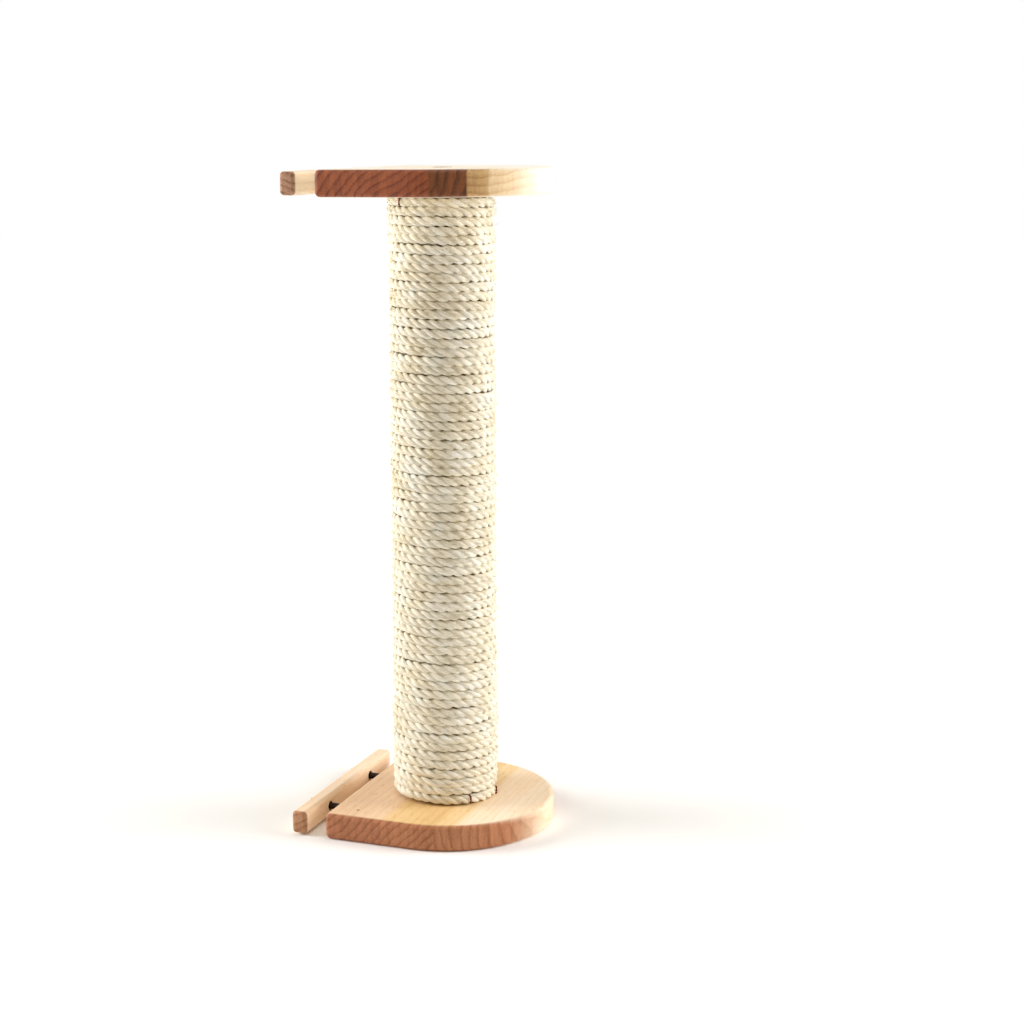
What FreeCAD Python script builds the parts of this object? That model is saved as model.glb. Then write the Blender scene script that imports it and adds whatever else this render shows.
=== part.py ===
import FreeCAD
import Part
import math
import os

# Scratching post that clamps to cage wires: a rope-wound tube between two D-shaped wooden
# plates, each with a wooden bar drawn up by two bolts. Millimetres. Origin: the post's axis
# on the underside of the base plate. +X points to the round nose, -X to the cage, +Z up.

SIZES = {
    "overall_height": 400.0,
    "plate_width": 132.0,
    "plate_thickness": 16.0,
    "cage_edge_offset": 53.0,      # post axis to the straight edge of a plate
    "nose_centre_offset": 1.0,     # post axis to the centre of the round nose
    "plate_edge_round": 3.0,
    "plate_corner_round": 3.0,
    "bar_length": 132.0,
    "bar_height": 14.0,
    "bar_thickness": 10.0,
    "bar_edge_round": 2.5,
    "cage_gap": 12.0,              # between the bar and the straight edge
    "clamp_bolt_spacing": 62.0,
    "clamp_bolt_diameter": 4.0,
    "clamp_bolt_length": 35.0,     # under the head
    "clamp_head_diameter": 7.0,
    "clamp_head_height": 2.2,
    "clamp_socket_width": 2.5,     # across the flats of the hexagon
    "clamp_socket_depth": 1.4,
    "clamp_washer_diameter": 9.0,
    "clamp_washer_thickness": 0.8,
    "bar_hole_diameter": 6.0,      # loose about the bolts, so that the bar can settle on the wires
    "bolt_hole_clearance": 0.3,    # radial, where a bolt passes through
    "thread_clearance": 0.05,      # radial, between a bolt and its insert
    "clamp_bore_depth": 28.0,
    "edge_insert_diameter": 7.0,
    "edge_insert_length": 12.0,
    "plug_insert_diameter": 9.0,
    "plug_insert_length": 14.0,
    "post_socket_width": 4.0,      # across the flats of the hexagon
    "post_socket_depth": 3.0,
    "post_bolt_diameter": 6.0,
    "post_bolt_length": 24.0,
    "post_head_diameter": 10.5,
    "post_head_height": 3.3,
    "post_washer_diameter": 12.5,
    "post_washer_thickness": 1.2,
    "counterbore_diameter": 14.0,
    "counterbore_depth": 5.0,
    "core_diameter": 54.0,
    "core_wall": 7.0,
    "plug_length": 22.0,
    "plug_clearance": 0.1,         # radial, between the plug and the tube's bore
    "nail_diameter": 1.4,
    "nail_length": 14.0,
    "nail_height": 11.0,           # from the tube's end
    "rope_diameter": 5.0,
    "rope_glue_gap": 0.2,          # radial, between the rope and the tube
    "staple_wire": 1.0,
    "staple_leg": 9.0,
}
NAIL_COUNT = 4
ROPE_HALF_TURNS = (44, 44, 45)     # in each of the three lengths that the winding is made in
ROPE_START_ANGLE = 10.0            # of the rope's cut end, about the post, in degrees
BASE_STAPLES = (6.0, -41.0)         # about the post, in degrees, near the rope's lower end
TOP_STAPLES = (-166.0, -119.0)      # near its upper end

doc = FreeCAD.newDocument("scratching_post")
sheet = doc.addObject("Spreadsheet::Sheet", "Sizes")
for row, (name, value) in enumerate(SIZES.items(), start=1):
    sheet.set(f"A{row}", name)
    sheet.set(f"B{row}", str(value))
    sheet.setAlias(f"B{row}", name)
doc.recompute()

PLATE_HALF = "Sizes.plate_width / 2"
BAR_INNER_X = "-Sizes.cage_edge_offset - Sizes.cage_gap"
BAR_OUTER_X = f"{BAR_INNER_X} - Sizes.bar_thickness"
HEAD_SEAT_X = f"{BAR_OUTER_X} - Sizes.clamp_washer_thickness"
ALONG_X = FreeCAD.Rotation(FreeCAD.Vector(0, 1, 0), 90)
UPWARD = FreeCAD.Rotation()
DOWNWARD = FreeCAD.Rotation(FreeCAD.Vector(1, 0, 0), 180)
NEAR, FAR = -1, 1

parts = {}


def size(alias):
    return float(sheet.get(alias))


def bind(obj, **expressions):
    for prop, expression in expressions.items():
        obj.setExpression(prop.replace("__", "."), expression)


def place(obj, rotation, x="0", y="0", z="0"):
    """Turns obj and binds its place to the sheet."""
    obj.Placement = FreeCAD.Placement(FreeCAD.Vector(), rotation)
    bind(obj, Placement__Base__x=x, Placement__Base__y=y, Placement__Base__z=z)
    return obj


def rod(name, radius, length, rotation=UPWARD, x="0", y="0", z="0"):
    cylinder = doc.addObject("Part::Cylinder", name)
    bind(cylinder, Radius=radius, Height=length)
    return place(cylinder, rotation, x, y, z)


def hexagon(name, width, length, rotation, x="0", y="0", z="0"):
    prism = doc.addObject("Part::Prism", name)
    prism.Polygon = 6
    bind(prism, Circumradius=f"{width} / 2 / cos(30 deg)", Height=length)
    return place(prism, rotation, x, y, z)


def joined(name, shapes):
    fuse = doc.addObject("Part::MultiFuse", name)
    fuse.Shapes = shapes
    return fuse


def cut(name, base, tool):
    result = doc.addObject("Part::Cut", name)
    result.Base = base
    result.Tool = tool
    return result


def finish(node, obj):
    """Makes obj the sub-part that is written out as node."""
    obj.Label = node
    parts[node] = obj
    return obj


def origin_plane(body, role):
    return next(f for f in body.Origin.OriginFeatures if f.Role == role)


def padded_outline(name, draw, thickness, z):
    """A body that pads a closed outline, which draw adds to its sketch, upwards from z."""
    body = doc.addObject("PartDesign::Body", name)
    sketch = body.newObject("Sketcher::SketchObject", f"{name}_outline")
    sketch.AttachmentSupport = [(origin_plane(body, "XY_Plane"), "")]
    sketch.MapMode = "FlatFace"
    draw(sketch)
    pad = body.newObject("PartDesign::Pad", f"{name}_pad")
    pad.Profile = sketch
    bind(pad, Length=thickness)
    place(body, UPWARD, z=z)
    doc.recompute()
    return body, pad


def round_edges(body, base, name, radius, wanted):
    fillet = body.newObject("PartDesign::Fillet", name)
    edges = [f"Edge{i}" for i, e in enumerate(base.Shape.Edges, start=1) if wanted(e)]
    fillet.Base = (base, edges)
    bind(fillet, Radius=radius)
    body.Tip = fillet
    doc.recompute()
    return fillet


def is_upright(edge):
    box = edge.BoundBox
    return box.ZLength > 1 and box.XLength < 1e-6 and box.YLength < 1e-6


def is_level(edge):
    return edge.BoundBox.ZLength < 1e-6


def draw_plate(sketch):
    """Straight edge on the cage side, two straight sides and a half-round nose."""
    w, a, c = size("plate_width") / 2, size("cage_edge_offset"), size("nose_centre_offset")
    centre = FreeCAD.Vector(c, 0, 0)
    circle = Part.Circle(centre, FreeCAD.Vector(0, 0, 1), w)
    side_near = sketch.addGeometry(Part.LineSegment(FreeCAD.Vector(-a, -w, 0), FreeCAD.Vector(c, -w, 0)))
    nose = sketch.addGeometry(Part.ArcOfCircle(circle, -math.pi / 2, math.pi / 2))
    side_far = sketch.addGeometry(Part.LineSegment(FreeCAD.Vector(c, w, 0), FreeCAD.Vector(-a, w, 0)))
    cage_edge = sketch.addGeometry(Part.LineSegment(FreeCAD.Vector(-a, w, 0), FreeCAD.Vector(-a, -w, 0)))
    link = Sketcher_constraint
    sketch.addConstraint(link("Tangent", side_near, 2, nose, 1))
    sketch.addConstraint(link("Tangent", nose, 2, side_far, 1))
    sketch.addConstraint(link("Coincident", side_far, 2, cage_edge, 1))
    sketch.addConstraint(link("Coincident", cage_edge, 2, side_near, 1))
    sketch.addConstraint(link("Horizontal", side_near))
    sketch.addConstraint(link("Horizontal", side_far))
    sketch.addConstraint(link("Vertical", cage_edge))
    sketch.addConstraint(link("PointOnObject", nose, 3, -1))
    name_constraint(sketch, link("DistanceX", -1, 1, nose, 3, c), "nose_centre", "Sizes.nose_centre_offset")
    name_constraint(sketch, link("Radius", nose, w), "nose_radius", PLATE_HALF)
    name_constraint(sketch, link("DistanceX", side_near, 1, -1, 1, a), "cage_edge", "Sizes.cage_edge_offset")


def draw_bar(sketch):
    l, t = size("bar_length") / 2, size("bar_thickness")
    inner = -size("cage_edge_offset") - size("cage_gap")
    corners = [(inner - t, -l), (inner, -l), (inner, l), (inner - t, l)]
    sides = []
    for (x0, y0), (x1, y1) in zip(corners, corners[1:] + corners[:1]):
        sides.append(sketch.addGeometry(Part.LineSegment(FreeCAD.Vector(x0, y0, 0), FreeCAD.Vector(x1, y1, 0))))
    link = Sketcher_constraint
    for i in range(4):
        sketch.addConstraint(link("Coincident", sides[i], 2, sides[(i + 1) % 4], 1))
        sketch.addConstraint(link("Horizontal" if i % 2 == 0 else "Vertical", sides[i]))
    name_constraint(sketch, link("DistanceX", sides[1], 1, -1, 1, -inner), "inner_face",
                    "Sizes.cage_edge_offset + Sizes.cage_gap")
    name_constraint(sketch, link("DistanceX", sides[0], 1, sides[0], 2, t), "thickness", "Sizes.bar_thickness")
    name_constraint(sketch, link("DistanceY", sides[1], 1, sides[1], 2, 2 * l), "length", "Sizes.bar_length")
    name_constraint(sketch, link("DistanceY", sides[1], 1, -1, 1, l), "centred", "Sizes.bar_length / 2")


def Sketcher_constraint(*arguments):
    import Sketcher
    return Sketcher.Constraint(*arguments)


def name_constraint(sketch, constraint, name, expression):
    index = sketch.addConstraint(constraint)
    sketch.renameConstraint(index, name)
    sketch.setExpression(f"Constraints.{name}", expression)


def clamp_bolt_y(side):
    return f"{side} * Sizes.clamp_bolt_spacing / 2"


def make_plate(level, z, outward, outer_z):
    """A plate with its counterbored post hole and the two blind bolt holes in its straight edge."""
    name = f"{level}_plate"
    body, pad = padded_outline(f"{name}_blank", draw_plate, "Sizes.plate_thickness", z)
    corners = round_edges(body, pad, f"{name}_corners", "Sizes.plate_corner_round", is_upright)
    round_edges(body, corners, f"{name}_rims", "Sizes.plate_edge_round", is_level)
    inward = DOWNWARD if outward == UPWARD else UPWARD
    drills = [
        rod(f"{name}_post_hole", "Sizes.post_bolt_diameter / 2 + Sizes.bolt_hole_clearance",
            "Sizes.plate_thickness", z=z),
        rod(f"{name}_counterbore", "Sizes.counterbore_diameter / 2", "Sizes.counterbore_depth",
            inward, z=outer_z),
    ]
    middle = f"{z} + Sizes.plate_thickness / 2"
    for side in (NEAR, FAR):
        y = clamp_bolt_y(side)
        tag = f"{name}_{'near' if side == NEAR else 'far'}"
        drills.append(rod(f"{tag}_insert_hole", "Sizes.edge_insert_diameter / 2", "Sizes.edge_insert_length",
                          ALONG_X, "-Sizes.cage_edge_offset", y, middle))
        drills.append(rod(f"{tag}_bolt_bore", "Sizes.clamp_bolt_diameter / 2 + Sizes.bolt_hole_clearance",
                          "Sizes.clamp_bore_depth", ALONG_X, "-Sizes.cage_edge_offset", y, middle))
    finish(name, cut(f"{name}_drilled", body, joined(f"{name}_drills", drills)))


def make_clamp(level, z):
    """The wooden bar with its bolts, washers and the threaded inserts in the plate's edge."""
    middle = f"{z} + Sizes.plate_thickness / 2"
    bar_z = f"{middle} - Sizes.bar_height / 2"
    body, pad = padded_outline(f"{level}_bar_blank", draw_bar, "Sizes.bar_height", bar_z)
    round_edges(body, pad, f"{level}_bar_edges", "Sizes.bar_edge_round", lambda edge: True)
    holes = []
    for side in (NEAR, FAR):
        tag = f"{level}_clamp_bolt_{'near' if side == NEAR else 'far'}"
        y = clamp_bolt_y(side)
        radius = "Sizes.clamp_bolt_diameter / 2"
        holes.append(rod(f"{tag}_hole", "Sizes.bar_hole_diameter / 2", "Sizes.bar_thickness",
                         ALONG_X, BAR_OUTER_X, y, middle))
        shank = rod(f"{tag}_shank", radius, "Sizes.clamp_bolt_length", ALONG_X, HEAD_SEAT_X, y, middle)
        head = rod(f"{tag}_head", "Sizes.clamp_head_diameter / 2", "Sizes.clamp_head_height", ALONG_X,
                   f"{HEAD_SEAT_X} - Sizes.clamp_head_height", y, middle)
        socket = hexagon(f"{tag}_socket", "Sizes.clamp_socket_width", "Sizes.clamp_socket_depth", ALONG_X,
                         f"{HEAD_SEAT_X} - Sizes.clamp_head_height", y, middle)
        finish(tag, cut(f"{tag}_solid", joined(f"{tag}_blank", [head, shank]), socket))
        washer = rod(f"{tag}_washer_disc", "Sizes.clamp_washer_diameter / 2",
                     "Sizes.clamp_washer_thickness", ALONG_X, HEAD_SEAT_X, y, middle)
        washer_hole = rod(f"{tag}_washer_hole", f"{radius} + Sizes.bolt_hole_clearance",
                          "Sizes.clamp_washer_thickness", ALONG_X, HEAD_SEAT_X, y, middle)
        finish(tag.replace("bolt", "washer"), cut(f"{tag}_washer", washer, washer_hole))
        make_insert(tag.replace("clamp_bolt", "edge_insert"), "edge_insert", "Sizes.clamp_bolt_diameter / 2",
                    ALONG_X, "-Sizes.cage_edge_offset", y, middle)
    finish(f"{level}_clamp_bar", cut(f"{level}_bar_drilled", body, joined(f"{level}_bar_holes", holes)))


def make_insert(node, kind, bolt_radius, rotation, x, y, z):
    length = f"Sizes.{kind}_length"
    sleeve = rod(f"{node}_sleeve", f"Sizes.{kind}_diameter / 2", length, rotation, x, y, z)
    bore = rod(f"{node}_bore", f"{bolt_radius} + Sizes.thread_clearance", length, rotation, x, y, z)
    finish(node, cut(f"{node}_solid", sleeve, bore))


def make_post_fixing(level, outward, outer_z, end_z, tube_sign):
    """Bolt and washer in the plate's counterbore, and the tube's wooden plug with its insert and nails."""
    inward = DOWNWARD if outward == UPWARD else UPWARD
    radius = "Sizes.post_bolt_diameter / 2"
    seat = f"{outer_z} + {tube_sign} * Sizes.counterbore_depth"
    head_seat = f"{seat} - {tube_sign} * Sizes.post_washer_thickness"
    head_top = f"{head_seat} - {tube_sign} * Sizes.post_head_height"
    shank = rod(f"{level}_post_shank", radius, "Sizes.post_bolt_length", inward, z=head_seat)
    head = rod(f"{level}_post_head", "Sizes.post_head_diameter / 2", "Sizes.post_head_height",
               inward, z=head_top)
    socket = hexagon(f"{level}_post_socket", "Sizes.post_socket_width", "Sizes.post_socket_depth", inward,
                     z=head_top)
    finish(f"{level}_post_bolt",
           cut(f"{level}_post_bolt_solid", joined(f"{level}_post_blank", [head, shank]), socket))
    disc = rod(f"{level}_post_washer_disc", "Sizes.post_washer_diameter / 2",
               "Sizes.post_washer_thickness", inward, z=head_seat)
    hole = rod(f"{level}_post_washer_hole", f"{radius} + Sizes.bolt_hole_clearance",
               "Sizes.post_washer_thickness", inward, z=head_seat)
    finish(f"{level}_post_washer", cut(f"{level}_post_washer_solid", disc, hole))

    bore_radius = "Sizes.core_diameter / 2 - Sizes.core_wall"
    plug = rod(f"{level}_plug_disc", f"{bore_radius} - Sizes.plug_clearance", "Sizes.plug_length",
               inward, z=end_z)
    bores = [
        rod(f"{level}_plug_insert_hole", "Sizes.plug_insert_diameter / 2", "Sizes.plug_insert_length",
            inward, z=end_z),
        rod(f"{level}_plug_bolt_hole", f"{radius} + Sizes.bolt_hole_clearance", "Sizes.plug_length",
            inward, z=end_z),
    ]
    bores += [nail(f"{level}_plug_nail_hole_{i}", i, end_z, tube_sign) for i in range(NAIL_COUNT)]
    finish(f"{level}_plug", cut(f"{level}_plug_solid", plug, joined(f"{level}_plug_bores", bores)))
    make_insert(f"{level}_plug_insert", "plug_insert", radius, inward, "0", "0", end_z)
    nails = [nail(f"{level}_plug_nail_{i}", i, end_z, tube_sign) for i in range(NAIL_COUNT)]
    compound = doc.addObject("Part::Compound", f"{level}_plug_nails_group")
    compound.Links = nails
    finish(f"{level}_plug_nails", compound)


def nail(name, index, end_z, tube_sign):
    """A headless nail driven radially through the tube's wall into the plug."""
    angle = 360.0 / NAIL_COUNT * (index + 0.5)
    direction = f"({angle} deg)"
    pin = rod(name, "Sizes.nail_diameter / 2", "Sizes.nail_length",
              FreeCAD.Rotation(FreeCAD.Vector(0, 0, 1), angle).multiply(ALONG_X))
    inner = "(Sizes.core_diameter / 2 - Sizes.nail_length)"
    bind(pin, Placement__Base__x=f"{inner} * cos({direction})", Placement__Base__y=f"{inner} * sin({direction})",
         Placement__Base__z=f"{end_z} + {tube_sign} * Sizes.nail_height")
    return pin


def make_core():
    radius = "Sizes.core_diameter / 2"
    length = "Sizes.overall_height - 2 * Sizes.plate_thickness"
    z = "Sizes.plate_thickness"
    tube = rod("core_outside", radius, length, z=z)
    cuts = [rod("core_bore", f"{radius} - Sizes.core_wall", length, z=z)]
    for level, end_z, sign in (("base", BASE_END, 1), ("top", TOP_END, -1)):
        cuts += [nail(f"core_{level}_nail_hole_{i}", i, end_z, sign) for i in range(NAIL_COUNT)]
    finish("core_tube", cut("core_solid", tube, joined("core_cuts", cuts)))


def biarc(p0, t0, p1, t1):
    """Two tangent arcs from p0 along t0 to p1 along t1."""
    v, t = p1 - p0, t0 + t1
    spread = 2 * (1 - t0.dot(t1))
    reach = (-v.dot(t) + math.sqrt(v.dot(t) ** 2 + spread * v.dot(v))) / spread
    q0, q1 = p0 + t0 * reach, p1 - t1 * reach
    joint = (q0 + q1) * 0.5
    edges = []
    for a, q, b in ((p0, q0, joint), (joint, q1, p1)):
        weight = (b - a).Length / 2 / (q - a).Length
        middle = (a + q * (2 * weight) + b) * (1 / (2 + 2 * weight))
        edges.append(Part.Arc(a, middle, b).toShape())
    return edges


def rope_geometry():
    """Radius, climb per half turn and lowest centre height of the rope's helix."""
    d = size("rope_diameter")
    radius = size("core_diameter") / 2 + size("rope_glue_gap") + d / 2
    climb = (size("overall_height") - 2 * size("plate_thickness") - d) / sum(ROPE_HALF_TURNS)
    return radius, climb, size("plate_thickness") + d / 2


def rope_point(half_turns):
    """Point and unit tangent of the helix, which climbs clockwise as seen from above."""
    radius, climb, bottom = rope_geometry()
    angle = math.radians(ROPE_START_ANGLE) - math.pi * half_turns
    point = FreeCAD.Vector(radius * math.cos(angle), radius * math.sin(angle), bottom + climb * half_turns)
    tangent = FreeCAD.Vector(radius * math.sin(angle), -radius * math.cos(angle), climb / math.pi)
    return point, tangent.normalize()


def least_turn_gap(edges, diameter):
    """Least space between the tube and its next turn, from points along the centre line."""
    points = [p for edge in edges for p in edge.discretize(13)[:-1]]
    per_turn = 12 * 4
    nearest = min(a.distanceToPoint(b)
                  for i, a in enumerate(points[:-per_turn])
                  for b in points[i + per_turn - 6:i + per_turn + 7])
    return nearest - diameter


def make_rope():
    """The winding as three lengths, each one unbroken round tube, meeting end to end."""
    d = size("rope_diameter")
    area = math.pi * d * d / 4
    lengths, done = [], 0
    for count in ROPE_HALF_TURNS:
        edges = []
        for half in range(done, done + count):
            edges += biarc(*rope_point(half), *rope_point(half + 1))
        path = Part.Wire(edges)
        start, tangent = rope_point(done)
        section = Part.Wire([Part.Circle(start, tangent, d / 2).toShape()])
        shell = Part.BRepOffsetAPI.MakePipeShell(path)
        shell.add(section)
        shell.build()
        shell.makeSolid()
        lengths.append(shell.shape())
        print("rope turns", count / 2, "length", round(path.Length, 1),
              "volume share", round(lengths[-1].Volume / (area * path.Length), 4),
              "least gap", round(least_turn_gap(edges, d), 3))
        done += count
    rope = doc.addObject("Part::Feature", "sisal_rope_feature")
    rope.Shape = Part.makeCompound(lengths)
    finish("sisal_rope", rope)


def staple(half_turn, angle):
    """A staple astride the rope: its crown stands upright on the rope and its legs go into the tube.

    It sits on the turn that begins at half_turn, at the given angle about the post in degrees."""
    radius, _, _ = rope_geometry()
    wire, leg = size("staple_wire"), size("staple_leg")
    turned = half_turn + ((ROPE_START_ANGLE - angle) / 180.0 - half_turn) % 2
    centre, _ = rope_point(turned)
    out = FreeCAD.Vector(centre.x, centre.y, 0).normalize()
    crown = FreeCAD.Vector(0, 0, centre.z) + out * (radius + size("rope_diameter") / 2)
    half_span = FreeCAD.Vector(0, 0, (size("rope_diameter") - wire) / 2)
    low, high = crown - half_span, crown + half_span
    pieces = [Part.makeCylinder(wire / 2, 2 * half_span.z, low, FreeCAD.Vector(0, 0, 1))]
    for end in (low, high):
        pieces.append(Part.makeSphere(wire / 2, end))
        pieces.append(Part.makeCylinder(wire / 2, leg, end, out * -1))
    return pieces[0].multiFuse(pieces[1:])


def make_staples():
    last_turn = sum(ROPE_HALF_TURNS) - 2
    for level, half_turn, angles in (("base", 0, BASE_STAPLES), ("top", last_turn, TOP_STAPLES)):
        group = doc.addObject("Part::Feature", f"{level}_staples_feature")
        group.Shape = Part.makeCompound([staple(half_turn, angle) for angle in angles])
        finish(f"{level}_rope_staples", group)


BASE_Z = "0"
TOP_Z = "Sizes.overall_height - Sizes.plate_thickness"
BASE_END = "Sizes.plate_thickness"
TOP_END = TOP_Z

make_plate("base", BASE_Z, DOWNWARD, BASE_Z)
make_plate("top", TOP_Z, UPWARD, "Sizes.overall_height")
make_clamp("base", BASE_Z)
make_clamp("top", TOP_Z)
make_post_fixing("base", DOWNWARD, BASE_Z, BASE_END, 1)
make_post_fixing("top", UPWARD, "Sizes.overall_height", TOP_END, -1)
make_core()
make_rope()
make_staples()
doc.recompute()

failed = [o.Label for o in doc.Objects if {"Invalid", "Error"} & set(o.State)]
failed += [node for node, o in parts.items() if o.Shape.isNull() or not o.Shape.isValid()]
if failed:
    raise SystemExit(f"failed: {failed}")

os.makedirs("parts", exist_ok=True)
for node, obj in parts.items():
    obj.Shape.exportStep(f"parts/{node}.step")
    box = obj.Shape.BoundBox
    print(node, len(obj.Shape.Solids), "solids", round(obj.Shape.Volume), "mm3",
          "x", round(box.XMin, 1), round(box.XMax, 1), "y", round(box.YMin, 1), round(box.YMax, 1),
          "z", round(box.ZMin, 1), round(box.ZMax, 1))
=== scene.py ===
import bpy
import math
import random
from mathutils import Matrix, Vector, noise


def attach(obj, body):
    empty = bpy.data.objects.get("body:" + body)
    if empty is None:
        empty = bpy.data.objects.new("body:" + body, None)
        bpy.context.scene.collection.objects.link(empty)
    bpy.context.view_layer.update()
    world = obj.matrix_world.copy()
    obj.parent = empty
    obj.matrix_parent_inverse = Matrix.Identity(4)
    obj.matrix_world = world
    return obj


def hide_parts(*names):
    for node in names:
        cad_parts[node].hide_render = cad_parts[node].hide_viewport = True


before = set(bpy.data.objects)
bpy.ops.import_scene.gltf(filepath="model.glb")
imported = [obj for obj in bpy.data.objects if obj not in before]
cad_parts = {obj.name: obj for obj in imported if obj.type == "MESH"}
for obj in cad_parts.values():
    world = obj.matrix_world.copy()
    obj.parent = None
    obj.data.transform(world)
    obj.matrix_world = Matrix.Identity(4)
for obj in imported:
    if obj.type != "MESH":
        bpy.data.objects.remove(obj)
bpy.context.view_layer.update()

mm = 0.001
levels = ("base", "top")

# the photograph's viewpoint, worked out from the outlines of the plates, post and bars
view = {"azimuth": 21.74, "elevation": 8.65, "roll": -0.53, "distance": 1.2004,
        "target": (-0.0086, 0.0, 0.2396), "lens": 69.54, "sensorWidth": 36, "shift": (0.080, -0.0765),
        "nearest": 0.01, "farthest": 20}


def addCamera():
    az, el = math.radians(view["azimuth"]), math.radians(view["elevation"])
    back = Vector((math.sin(az) * math.cos(el), -math.cos(az) * math.cos(el), math.sin(el)))
    cameraData = bpy.data.cameras.new("photoCamera")
    camera = bpy.data.objects.new("photoCamera", cameraData)
    bpy.context.scene.collection.objects.link(camera)
    camera.location = Vector(view["target"]) + back * view["distance"]
    camera.rotation_euler = (math.radians(90) - el, 0.0, az)
    camera.rotation_euler.rotate_axis("Z", math.radians(view["roll"]))
    cameraData.lens = view["lens"]
    cameraData.sensor_width = view["sensorWidth"]
    cameraData.shift_x, cameraData.shift_y = view["shift"]
    cameraData.clip_start, cameraData.clip_end = view["nearest"], view["farthest"]
    bpy.context.scene.camera = camera
    bpy.context.scene.view_settings.view_transform = "Standard"


addCamera()
print("camera placed")


def toLinear(hexText):
    # sRGB hex to the linear colour that shaders take
    parts = [int(hexText[i:i + 2], 16) / 255 for i in (1, 3, 5)]
    return tuple(c / 12.92 if c <= 0.04045 else ((c + 0.055) / 1.055) ** 2.4 for c in parts) + (1.0,)


def addNode(tree, kind, settings=None, inputs=None):
    # a node with its settings; each input is a value, or the socket that feeds it
    node = tree.nodes.new(kind)
    for name, value in (settings or {}).items():
        setattr(node, name, value)
    for name, value in (inputs or {}).items():
        if isinstance(value, bpy.types.NodeSocket):
            tree.links.new(value, node.inputs[name])
        else:
            node.inputs[name].default_value = value
    return node


def setRamp(node, stops):
    # stops are hex colours, or grey levels from 0 to 1
    ramp = node.color_ramp
    while len(ramp.elements) < len(stops):
        ramp.elements.new(0.5)
    for element, (position, colour) in zip(ramp.elements, stops):
        element.position = position
        element.color = toLinear(colour) if isinstance(colour, str) else (colour, colour, colour, 1)
    return node.outputs["Color"]


def blend(tree, value, ends, colours, kind="SMOOTHSTEP"):
    # goes from the first colour to the second as the value goes from one end to the other
    first, second = (toLinear(colour) if isinstance(colour, str) else colour for colour in colours)
    share = addNode(tree, "ShaderNodeMapRange", {"interpolation_type": kind},
                    {"Value": value, "From Min": ends[0], "From Max": ends[1]}).outputs[0]
    return addNode(tree, "ShaderNodeMix", {"data_type": "RGBA"}, {0: share, 6: first, 7: second}).outputs[2]


def layer(tree, tones, ground, weights):
    # one pattern with others added over it, each by its weight
    total = tones[ground]
    for pattern, weight in weights.items():
        total = addNode(tree, "ShaderNodeMath", {"operation": "MULTIPLY_ADD"},
                        {0: tones[pattern], 1: weight, 2: total}).outputs[0]
    return total


def newMaterial(name, values):
    material = bpy.data.materials.new(name)
    material.use_nodes = True
    tree = material.node_tree
    shader = tree.nodes["Principled BSDF"]
    for socket, value in values.items():
        shader.inputs[socket].default_value = value
    return material, tree, shader


def dress(node, material):
    # a CAD node keeps its mesh and gets this finish
    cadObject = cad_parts[node]
    cadObject.data.materials.clear()
    cadObject.data.materials.append(material)


# solid pale softwood, edge-glued in boards that run along Y, planed and sanded, left bare; sizes in mm
# joints are the glue lines' places along X; each board has its face colours, its end-grain colours and
# the heart of its growth rings, and a knot is its place and its radius
plankLook = {
    "basePlate": {"joints": (-16.0, 17.0, 29.0), "ring": 4.6, "shift": (3.0, 11.0, 0.0),
                  "knots": ((-36.3, -53.5, 16.0, 1.4), (65.2, -17.5, 14.0, 0.9)), "boards": (
        {"face": ("#F0D1AE", "#DCB084"), "end": ("#C07E58", "#8E5636"), "heart": (-150.0, 130.0)},
        {"face": ("#EBC993", "#D8AC6A"), "end": ("#C6855C", "#955A36"), "heart": (-95.0, 95.0)},
        {"face": ("#F5D7A4", "#E2B87E"), "end": ("#C88A60", "#9A5E3A"), "heart": (170.0, 30.0)},
        {"face": ("#FFEDD6", "#F3D2A8"), "end": ("#C88860", "#A0633E"), "heart": (-190.0, -25.0)})},
    # the top plate's face tones are near white, paler than the base plate's: pale wood with a painted highlight
    # for the stronger light on its top face
    "topPlate": {"joints": (17.5, 37.0, 47.0), "ring": 4.8, "shift": (19.0, 57.0, 0.0),
                 "knots": (), "boards": (
        {"face": ("#FFFAEE", "#FCE9CC"), "end": ("#AC603A", "#70341D"), "heart": (120.0, 250.0)},
        {"face": ("#FFF9EC", "#FCE9CC"), "end": ("#92562F", "#55301A"), "heart": (177.0, 352.0)},
        {"face": ("#FFFAEE", "#FCEACE"), "end": ("#DDB882", "#B88A55"), "heart": (60.0, 520.0)},
        {"face": ("#FFFAEE", "#FCECD2"), "end": ("#F5DCB2", "#DDB684"), "heart": (60.0, 520.0)})},
    "baseBar": {"joints": (), "ring": 3.6, "shift": (41.0, 23.0, 0.0),
                "knots": (), "boards": (
        {"face": ("#FFE8CC", "#F3CBA2"), "end": ("#C3936E", "#9B6745"), "heart": (-10.0, -60.0)},)},
    "topBar": {"joints": (), "ring": 3.9, "shift": (71.0, 3.0, 0.0),
               "knots": (), "boards": (
        {"face": ("#FFEFD6", "#F6D6AC"), "end": ("#C69A7C", "#835438"), "heart": (-20.0, 335.0)},)},
}

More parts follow.
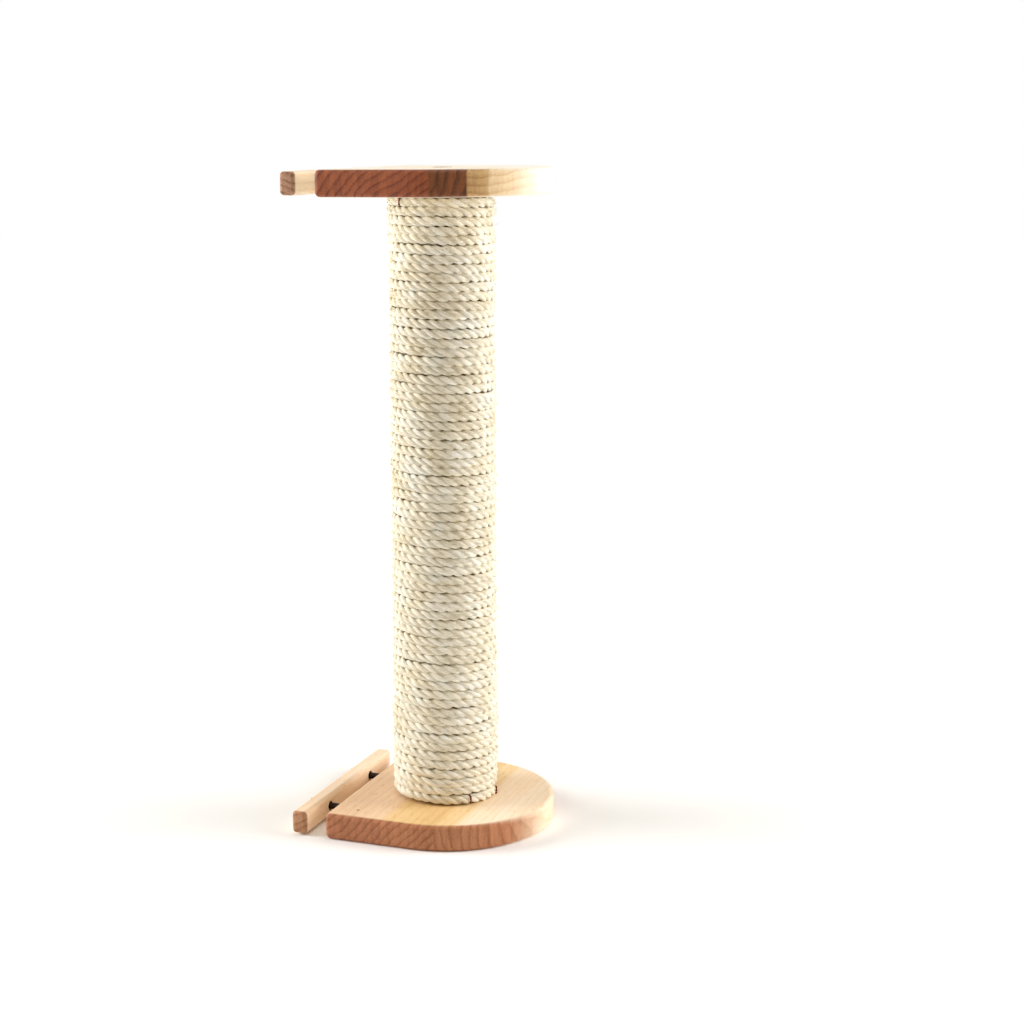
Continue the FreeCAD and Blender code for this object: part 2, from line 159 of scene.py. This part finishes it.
# the grain that every board has; perMm is how fast a pattern changes along X, Y and Z
grain = {
    "patterns": {
        "wander": {"perMm": (0.035, 0.0049, 0.035), "detail": 3.0, "roughness": 0.5},    # bends the rings
        "fibre": {"perMm": (2.4, 0.05, 2.4), "detail": 4.0, "roughness": 0.65},          # 0.4 by some 20 mm
        "fleck": {"perMm": (0.7, 0.12, 0.7), "detail": 2.0, "roughness": 0.5},           # short darker marks
        "cloud": {"perMm": (0.05, 0.007, 0.05), "detail": 2.0, "roughness": 0.5},        # broad clouds of tone
        "speck": {"perMm": (0.9, 0.9, 0.9), "detail": 4.0, "roughness": 0.7},            # pores of the end grain
        "streak": {"perMm": (0.4, 0.4, 0.05), "detail": 2.0, "roughness": 0.5}},         # upright on the ends
    "wander": 12.0, "fleckRange": (0.58, 0.75),
    "ringStops": ((0.0, 0.2), (0.45, 0.3), (0.85, 1.0), (1.0, 0.2)),
    "onFace": {"ring": 0.3, "fleck": 0.55, "fibre": 0.5}, "faceRange": (0.6, 1.35),
    "onEnd": {"ring": 0.55, "streak": 0.9}, "endRange": (0.85, 1.6),
    "faceJoint": 6.0, "endJoint": 1.2, "endFrom": (0.08, 0.62),
    "knotColour": "#8A5A35", "knotCore": 0.4,
    "inRelief": {"ring": 0.4}, "relief": 0.25, "reliefDepth": 0.2 * mm, "roughness": (0.44, 0.62),
}


def growthRings(tree, place, heart, width):
    # rings about a heart that lies outside the board, each one darkening outwards
    own = addNode(tree, "ShaderNodeVectorMath", {"operation": "SUBTRACT"},
                  {0: place, 1: (heart[0], 0.0, heart[1])}).outputs[0]
    flat = addNode(tree, "ShaderNodeVectorMath", {"operation": "MULTIPLY"},
                   {0: own, 1: (1, 0, 1)}).outputs[0]
    radius = addNode(tree, "ShaderNodeVectorMath", {"operation": "LENGTH"}, {0: flat}).outputs["Value"]
    turns = addNode(tree, "ShaderNodeMath", {"operation": "DIVIDE"}, {0: radius, 1: width}).outputs[0]
    ring = addNode(tree, "ShaderNodeMath", {"operation": "FRACT"}, {0: turns}).outputs[0]
    return setRamp(addNode(tree, "ShaderNodeValToRGB", {}, {"Fac": ring}), grain["ringStops"])


def paleWood(name, look):
    # bare sanded softwood: matt, straight pale grain along Y, and darker thirsty end grain on the Y faces
    material, tree, shader = newMaterial(name, {"IOR": 1.45, "Specular IOR Level": 0.4})
    place = addNode(tree, "ShaderNodeTexCoord")
    inMm = addNode(tree, "ShaderNodeMapping", {}, {
        "Vector": place.outputs["Object"], "Location": look["shift"],
        "Scale": (1 / mm, 1 / mm, 1 / mm)}).outputs[0]
    drawn = {}
    for pattern, drawing in grain["patterns"].items():
        scaled = addNode(tree, "ShaderNodeMapping", {}, {
            "Vector": inMm, "Scale": drawing["perMm"]}).outputs[0]
        drawn[pattern] = addNode(tree, "ShaderNodeTexNoise", {}, {
            "Vector": scaled, "Scale": 1.0, "Detail": drawing["detail"], "Roughness": drawing["roughness"]})
    tones = {pattern: noiseNode.outputs["Fac"] for pattern, noiseNode in drawn.items()}
    fleckFrom, fleckTo = grain["fleckRange"]
    tones["fleck"] = addNode(tree, "ShaderNodeMapRange", {}, {
        "Value": tones["fleck"], "From Min": fleckFrom, "From Max": fleckTo}).outputs[0]

    # the rings wander off their circles by some millimetres
    offset = addNode(tree, "ShaderNodeVectorMath", {"operation": "SUBTRACT"},
                     {0: drawn["wander"].outputs["Color"], 1: (0.5, 0.5, 0.5)}).outputs[0]
    pushed = addNode(tree, "ShaderNodeVectorMath", {"operation": "SCALE"},
                     {0: offset, "Scale": grain["wander"]}).outputs[0]
    bent = addNode(tree, "ShaderNodeVectorMath", {"operation": "ADD"}, {0: inMm, 1: pushed}).outputs[0]

    split = addNode(tree, "ShaderNodeSeparateXYZ", {}, {0: place.outputs["Object"]})
    xInMm = addNode(tree, "ShaderNodeMath", {"operation": "MULTIPLY"},
                    {0: split.outputs["X"], 1: 1 / mm}).outputs[0]
    for number, board in enumerate(look["boards"]):
        tones["ring"] = growthRings(tree, bent, board["heart"], look["ring"])
        onFace = layer(tree, tones, "cloud", grain["onFace"])
        face = blend(tree, onFace, grain["faceRange"], board["face"], "LINEAR")
        onEnd = layer(tree, tones, "speck", grain["onEnd"])
        end = blend(tree, onEnd, grain["endRange"], board["end"], "LINEAR")
        if number:
            joint = look["joints"][number - 1]
            faceHalf, endHalf = grain["faceJoint"] / 2, grain["endJoint"] / 2
            faceColour = blend(tree, xInMm, (joint - faceHalf, joint + faceHalf), (faceColour, face))
            endColour = blend(tree, xInMm, (joint - endHalf, joint + endHalf), (endColour, end))
        else:
            faceColour, endColour = face, end
            height = layer(tree, tones, "fibre", grain["inRelief"])

    facing = addNode(tree, "ShaderNodeSeparateXYZ", {}, {0: place.outputs["Normal"]}).outputs["Y"]
    onYFace = addNode(tree, "ShaderNodeMath", {"operation": "ABSOLUTE"}, {0: facing}).outputs[0]
    colour = blend(tree, onYFace, grain["endFrom"], (faceColour, endColour))
    for x, y, z, size in look["knots"]:
        # a pin knot: a small dark brown spot with a soft edge
        gap = addNode(tree, "ShaderNodeVectorMath", {"operation": "DISTANCE"},
                      {0: place.outputs["Object"], 1: (x * mm, y * mm, z * mm)}).outputs["Value"]
        colour = blend(tree, gap, (size * mm, size * grain["knotCore"] * mm), (colour, grain["knotColour"]))
    tree.links.new(colour, shader.inputs["Base Color"])

    bump = addNode(tree, "ShaderNodeBump", {}, {
        "Height": height, "Strength": grain["relief"], "Distance": grain["reliefDepth"]}).outputs[0]
    tree.links.new(bump, shader.inputs["Normal"])
    smoothest, roughest = grain["roughness"]
    rough = addNode(tree, "ShaderNodeMapRange", {}, {
        "Value": tones["fibre"], "To Min": smoothest, "To Max": roughest}).outputs[0]
    tree.links.new(rough, shader.inputs["Roughness"])
    return material


for level in levels:
    dress(f"{level}_plate", paleWood(f"bareSoftwood_{level}Plate", plankLook[f"{level}Plate"]))
    dress(f"{level}_clamp_bar", paleWood(f"bareSoftwood_{level}Bar", plankLook[f"{level}Bar"]))
plugWood = paleWood("bareSoftwood_plug", plankLook["baseBar"])
print("wood done")

# slightly clouded finishes: where the two tones lie in the cloud, how far the roughness strays, and the relief
clouding = {"stops": (0.3, 0.7), "smoother": 0.08, "rougher": 0.1, "relief": 0.15, "reliefDepth": 0.05 * mm}


def cloudedFinish(name, lighter, darker, roughness, metallic=1.0, cloudsPerMetre=900.0):
    material, tree, shader = newMaterial(name, {"Metallic": metallic})
    place = addNode(tree, "ShaderNodeTexCoord")
    cloud = addNode(tree, "ShaderNodeTexNoise", {}, {
        "Vector": place.outputs["Object"], "Scale": cloudsPerMetre, "Detail": 3.0}).outputs["Fac"]
    darkStop, lightStop = clouding["stops"]
    colour = setRamp(addNode(tree, "ShaderNodeValToRGB", {}, {"Fac": cloud}),
                     ((darkStop, darker), (lightStop, lighter)))
    tree.links.new(colour, shader.inputs["Base Color"])
    rough = addNode(tree, "ShaderNodeMapRange", {}, {
        "Value": cloud, "To Min": roughness - clouding["smoother"],
        "To Max": roughness + clouding["rougher"]}).outputs[0]
    tree.links.new(rough, shader.inputs["Roughness"])
    bump = addNode(tree, "ShaderNodeBump", {}, {
        "Height": cloud, "Strength": clouding["relief"], "Distance": clouding["reliefDepth"]}).outputs[0]
    tree.links.new(bump, shader.inputs["Normal"])
    return material


# oiled black heat finish
blackOxideSteel = cloudedFinish("blackOxideSteel", "#3D322B", "#231B17", 0.42)
# bright, slightly clouded plating
zincSteel = cloudedFinish("zincPlatedSteel", "#C6C8CB", "#A2A5A8", 0.34)
# drawn wire, uncoated
brightWire = cloudedFinish("brightSteelWire", "#C9C9C7", "#9FA09E", 0.3)
# staple wire with its thin copper wash
copperWashedWire = cloudedFinish("copperWashedWire", "#8A4A2C", "#5A2C1B", 0.4)
# wound paper tube, matt brown
kraftBoard = cloudedFinish("kraftBoard", "#B08C63", "#9A784F", 0.8, metallic=0.0, cloudsPerMetre=400.0)

dress("core_tube", kraftBoard)
for level in levels:
    dress(f"{level}_plug", plugWood)
    dress(f"{level}_plug_nails", brightWire)
    dress(f"{level}_plug_insert", zincSteel)
    dress(f"{level}_post_bolt", blackOxideSteel)
    dress(f"{level}_post_washer", zincSteel)
    dress(f"{level}_rope_staples", copperWashedWire)
    for side in ("near", "far"):
        dress(f"{level}_clamp_bolt_{side}", blackOxideSteel)
        dress(f"{level}_clamp_washer_{side}", zincSteel)
        dress(f"{level}_edge_insert_{side}", zincSteel)
print("metal and board done")

# three-strand sisal about 5.5 mm thick, laid right-handed, wound tightly up the tube, clockwise from above;
# pressed and spread are how flat it lies on the tube, and its last levelEnd at both ends doesn't wave up or
# down; toneApart keeps the fibre patterns of the strands apart; sizes in mm
rope = {"woundRadius": 29.7, "bottom": 18.5, "climb": 363.0, "turns": 66.5, "startAngle": 10.0,
        "lay": 18.5, "strandRadius": 1.55, "strandOffset": 1.42, "sides": 9, "stepsPerLay": 9,
        "pressed": 0.9, "spread": 1.05, "levelEnd": 60.0, "fibreTwist": 1.1, "toneApart": 10}
ropeTurnLength = math.hypot(2 * math.pi * rope["woundRadius"], rope["climb"] / rope["turns"])
ropeLength = rope["turns"] * ropeTurnLength

# what is uneven about it: by how much, and how often along the rope
uneven = {"away": {"size": 0.8, "perMm": 0.031},         # mm off the tube
          "lift": {"size": 0.8, "perMm": 0.026},         # mm up or down the post
          "lay": {"size": 1.6, "perMm": 0.011},          # radians of twist, all strands
          "strandLay": {"size": 0.5, "perMm": 0.05},     # radians of twist, one strand
          "swell": {"size": 0.3, "perMm": 0.11},         # share of the strand's radius
          "lump": {"size": 0.24, "perMm": 0.4}}          # the same, on one side of the strand
lumpRound = 1.3    # how much the lumps differ round a strand


def waver(kind, s, y, z):
    # y and z pick a part of the noise that nothing else reads
    return uneven[kind]["size"] * noise.noise(Vector((s * uneven[kind]["perMm"], y, z)))


def ropeFrame(s):
    # centre of the rope s mm from its lower end, and the directions off the post, across the rope and along it
    turn = s / ropeTurnLength
    angle = math.radians(rope["startAngle"]) - 2 * math.pi * turn
    outward = Vector((math.cos(angle), math.sin(angle), 0.0))
    ahead = Vector((math.sin(angle), -math.cos(angle), 0.0)) * (2 * math.pi * rope["woundRadius"])
    ahead.z = rope["climb"] / rope["turns"]
    ahead.normalize()
    across = ahead.cross(outward)
    ease = min(1.0, s / rope["levelEnd"], (ropeLength - s) / rope["levelEnd"])
    centre = outward * (rope["woundRadius"] + waver("away", s, 3.1, 0.0))
    centre.z = rope["bottom"] + rope["climb"] * turn / rope["turns"] + waver("lift", s, 0.0, 8.7) * ease
    return centre, outward, across, ahead


def addMesh(name, points, faces, place):
    # place tells the sisal where along and about its strand a point lies
    mesh = bpy.data.meshes.new(name)
    mesh.from_pydata(points, [], faces)
    attribute = mesh.attributes.new("fibrePlace", "FLOAT_VECTOR", "POINT")
    attribute.data.foreach_set("vector", [c for p in place for c in p])
    mesh.shade_smooth()
    item = bpy.data.objects.new(name, mesh)
    bpy.context.scene.collection.objects.link(item)
    return item


def strandMesh(name, number):
    steps = int(ropeLength / rope["lay"] * rope["stepsPerLay"])
    sides, radius = rope["sides"], rope["strandRadius"]
    points, faces, place = [], [], []
    for i in range(steps + 1):
        s = ropeLength * i / steps
        centre, outward, across, ahead = ropeFrame(s)
        drift = waver("lay", s, 5.0, 1.0) + waver("strandLay", s, number * 5.0, 1.0)
        turned = 2 * math.pi * (s / rope["lay"] + number / 3) + drift
        outward, across = outward * rope["pressed"], across * rope["spread"]
        middle = centre + rope["strandOffset"] * (math.cos(turned) * outward + math.sin(turned) * across)
        swell = 1 + waver("swell", s, number * 9.0, 4.0)
        for k in range(sides):
            a = 2 * math.pi * k / sides
            lump = 1 + waver("lump", s, number * 7.0 + lumpRound * math.cos(a), lumpRound * math.sin(a))
            point = middle + radius * swell * lump * (math.cos(a) * outward + math.sin(a) * across)
            points.append(point * mm)
            fibreAngle = a + rope["fibreTwist"] * turned
            place.append((s, radius * math.cos(fibreAngle) + number * rope["toneApart"],
                          radius * math.sin(fibreAngle)))
            if i < steps:
                here, there = i * sides + k, i * sides + (k + 1) % sides
                faces.append((here, there, there + sides, here + sides))
    faces.append(tuple(range(sides))[::-1])
    faces.append(tuple(range(steps * sides, (steps + 1) * sides)))
    return addMesh(name, points, faces, place)


# fibres 0.25 mm thick are drawn to 0.4 mm so that they show; crestToFloor is the distances from the post's
# axis, in mm, between which a groove goes from its own colour to a painted shade colour
sisalLook = {"fibresPerMm": (0.16, 2.4, 2.4), "patchesPerMetre": 70.0, "weights": {"patch": 0.6},
             "toneRange": (0.48, 0.98), "crestToFloor": (30.4, 28.5), "relief": 0.8, "reliefDepth": 0.4 * mm,
             "twisted": {"stops": ((0.0, "#D2C29C"), (0.35, "#F2E6CA"), (0.7, "#FFF8E6"), (1.0, "#FFFEF6")),
                         "paintedGrooveShade": "#BFA878"},
             "loose": {"stops": ((0.0, "#E6D9B4"), (1.0, "#FFF9E8")), "paintedGrooveShade": "#D8C79C"}}


def sisal(name, look):
    # hard leaf fibre, twisted: dry and matt, cream with straw streaks, and painted shade down in the grooves
    material, tree, shader = newMaterial(name, {"Roughness": 0.85, "IOR": 1.4, "Specular IOR Level": 0.25})
    fibrePlace = addNode(tree, "ShaderNodeAttribute", {"attribute_name": "fibrePlace"}).outputs["Vector"]
    streaks = addNode(tree, "ShaderNodeMapping", {}, {
        "Vector": fibrePlace, "Scale": sisalLook["fibresPerMm"]}).outputs[0]
    streak = addNode(tree, "ShaderNodeTexNoise", {}, {
        "Vector": streaks, "Scale": 1.0, "Detail": 4.0, "Roughness": 0.7}).outputs["Fac"]
    place = addNode(tree, "ShaderNodeTexCoord").outputs["Object"]
    patch = addNode(tree, "ShaderNodeTexNoise", {}, {
        "Vector": place, "Scale": sisalLook["patchesPerMetre"], "Detail": 3.0}).outputs["Fac"]
    mixed = layer(tree, {"streak": streak, "patch": patch}, "streak", sisalLook["weights"])
    darkest, palest = sisalLook["toneRange"]
    tone = addNode(tree, "ShaderNodeMapRange", {}, {
        "Value": mixed, "From Min": darkest, "From Max": palest}).outputs[0]
    colour = setRamp(addNode(tree, "ShaderNodeValToRGB", {}, {"Fac": tone}), look["stops"])
    # distance from the post's axis tells how deep in a groove a point lies, and deeper points get painted shade
    flat = addNode(tree, "ShaderNodeVectorMath", {"operation": "MULTIPLY"},
                   {0: place, 1: (1 / mm, 1 / mm, 0)}).outputs[0]
    radius = addNode(tree, "ShaderNodeVectorMath", {"operation": "LENGTH"}, {0: flat}).outputs["Value"]
    shaded = blend(tree, radius, sisalLook["crestToFloor"], (colour, look["paintedGrooveShade"]))
    tree.links.new(shaded, shader.inputs["Base Color"])
    bump = addNode(tree, "ShaderNodeBump", {}, {
        "Height": streak, "Strength": sisalLook["relief"], "Distance": sisalLook["reliefDepth"]}).outputs[0]
    tree.links.new(bump, shader.inputs["Normal"])
    return material


sisalRope = sisal("naturalSisal_twisted", sisalLook["twisted"])
for number, letter in enumerate("ABC"):
    strand = strandMesh(f"ropeStrand{letter}", number)
    strand.data.materials.append(sisalRope)
    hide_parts("sisal_rope")
    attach(strand, "post")
print("rope strands done")

# loose fibres on the rope; sizes in mm. Each kind has its count, and the ranges that length, lift of the tip
# and twist are drawn from. lean turns a fibre about the rope, and 0 is straight off the post
fuzz = {"flat": {"count": 9000, "length": (3.0, 9.0), "lift": (-0.1, 0.7), "twist": (-0.9, 1.3)},
        "lifted": {"count": 1300, "length": (2.0, 6.0), "lift": (0.6, 2.6), "twist": (-0.8, 0.8)},
        "frayed": {"count": 60, "length": (3.5, 6.0), "lift": (-0.4, 0.8), "twist": (-0.5, 0.5)},
        "radius": 0.13, "tip": 0.5, "steps": 3, "lean": 1.2, "sunk": 0.12,
        "longest": 8.0, "frayedFrom": 3.0, "toneStep": 1.3, "seed": 11}
ropeOuter = (rope["strandOffset"] + rope["strandRadius"]) * rope["pressed"]


def fibreTube(mesh, start, along, lean, length, lift, twist, height):
    # one fibre, three-sided, that lies along the rope's surface and lifts off it towards its tip
    points, faces, place = mesh
    first, steps = len(points), fuzz["steps"]
    for i in range(steps + 1):
        t = i / steps
        centre, outward, across, ahead = ropeFrame(start + along * length * t)
        a = lean + twist * t
        away = outward * math.cos(a) + across * math.sin(a)
        side = ahead.cross(away)
        here = centre + away * (height + lift * t * t)
        slim = fuzz["radius"] * (1 - fuzz["tip"] * t)
        for k in range(3):
            b = 2 * math.pi * k / 3
            points.append((here + (away * math.cos(b) + side * math.sin(b)) * slim) * mm)
            place.append((start + length * t, k * fuzz["toneStep"], lean))
    for i in range(steps):
        for k in range(3):
            a, b = first + i * 3 + k, first + i * 3 + (k + 1) % 3
            faces.append((a, b, b + 3, a + 3))


def drawFibre(draw, kind):
    return [draw.uniform(*fuzz[kind][name]) for name in ("length", "lift", "twist")]


def addFuzz(name):
    draw = random.Random(fuzz["seed"])
    mesh = points, faces, place = [], [], []
    for kind in ("flat", "lifted"):
        for _ in range(fuzz[kind]["count"]):
            # no fibre starts so near an end that it could run past it
            start = draw.uniform(fuzz["longest"], ropeLength - fuzz["longest"])
            along, lean = draw.choice((-1, 1)), draw.uniform(-fuzz["lean"], fuzz["lean"])
            length, lift, twist = drawFibre(draw, kind)
            length = min(length, fuzz["longest"])
            fibreTube(mesh, start, along, lean, length, lift, twist, ropeOuter - fuzz["sunk"])
    for end, along in ((fuzz["frayedFrom"], -1), (ropeLength - fuzz["frayedFrom"], 1)):    # the two cut ends
        for _ in range(fuzz["frayed"]["count"]):
            lean = draw.uniform(0, 2 * math.pi)
            length, lift, twist = drawFibre(draw, "frayed")
            fibreTube(mesh, end, along, lean, length, lift, twist, ropeOuter * math.sqrt(draw.random()))
    item = addMesh(name, points, faces, place)
    item.data.materials.append(sisal("naturalSisal_loose", sisalLook["loose"]))
    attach(item, "post")


addFuzz("ropeFuzz")
print("loose fibres done")

# a white tent: a lit room, and soft lamps at both sides and above, so that the front is the quieter side;
# places and sizes in metres, powers in watts
light = {"world": 0.22, "worldColour": "#FFEFD2", "lampSize": 0.9, "aim": (0, 0, 0.2),
         "lamps": {"rightLamp": {"place": (1.15, 0.45, 0.6), "power": 16.5},
                   "leftLamp": {"place": (-1.15, -0.35, 0.6), "power": 16.5},
                   "topLamp": {"place": (0.1, -0.2, 1.6), "power": 6.0}},
         "floorSize": 12.0, "glowFrom": 0.2, "glowTo": 0.6}


def addFloor():
    bpy.ops.object.select_all(action="DESELECT")
    bpy.ops.mesh.primitive_plane_add(size=light["floorSize"], location=(0, 0, 0))
    floor = bpy.context.object
    floor.name = "paleFloor"
    material, tree, shader = newMaterial("mattWhitePaper", {
        "Roughness": 0.9, "Base Color": toLinear("#FFFFFF"), "Specular IOR Level": 0.1,
        "Emission Color": toLinear("#FFFFFF")})
    # away from the post the camera sees the paper as bright as the backdrop, so that the two meet unseen
    place = addNode(tree, "ShaderNodeTexCoord").outputs["Object"]
    away = addNode(tree, "ShaderNodeVectorMath", {"operation": "LENGTH"}, {0: place}).outputs["Value"]
    rise = addNode(tree, "ShaderNodeMapRange", {"interpolation_type": "SMOOTHSTEP"},
                   {"Value": away, "From Min": light["glowFrom"], "From Max": light["glowTo"]}).outputs[0]
    rays = addNode(tree, "ShaderNodeLightPath")
    glow = addNode(tree, "ShaderNodeMath", {"operation": "MULTIPLY"},
                   {0: rays.outputs["Is Camera Ray"], 1: rise}).outputs[0]
    tree.links.new(glow, shader.inputs["Emission Strength"])
    floor.data.materials.append(material)


def addWorld():
    world = bpy.data.worlds.new("whiteRoom")
    bpy.context.scene.world = world
    world.use_nodes = True
    tree = world.node_tree
    background = tree.nodes["Background"]
    rays = addNode(tree, "ShaderNodeLightPath")
    seen = addNode(tree, "ShaderNodeMath", {"operation": "MAXIMUM"},
                   {0: rays.outputs["Is Camera Ray"], 1: rays.outputs["Is Glossy Ray"]}).outputs[0]
    strength = addNode(tree, "ShaderNodeMapRange", {}, {
        "Value": seen, "To Min": light["world"], "To Max": 1.0}).outputs[0]
    # what lights the object is a little warm, and what the camera sees is white
    colour = addNode(tree, "ShaderNodeMix", {"data_type": "RGBA"}, {
        0: seen, 6: toLinear(light["worldColour"]), 7: toLinear("#FFFFFF")}).outputs[2]
    tree.links.new(colour, background.inputs["Color"])
    tree.links.new(strength, background.inputs["Strength"])


def addLamp(name, place, power):
    data = bpy.data.lights.new(name, "AREA")
    data.shape = "DISK"
    data.size = light["lampSize"]
    data.energy = power
    lamp = bpy.data.objects.new(name, data)
    bpy.context.scene.collection.objects.link(lamp)
    lamp.location = place
    lamp.rotation_euler = (Vector(light["aim"]) - Vector(place)).to_track_quat("-Z", "Y").to_euler()


addFloor()
addWorld()
for lampName, lamp in light["lamps"].items():
    addLamp(lampName, lamp["place"], lamp["power"])
print("light done")

bpy.context.view_layer.update()
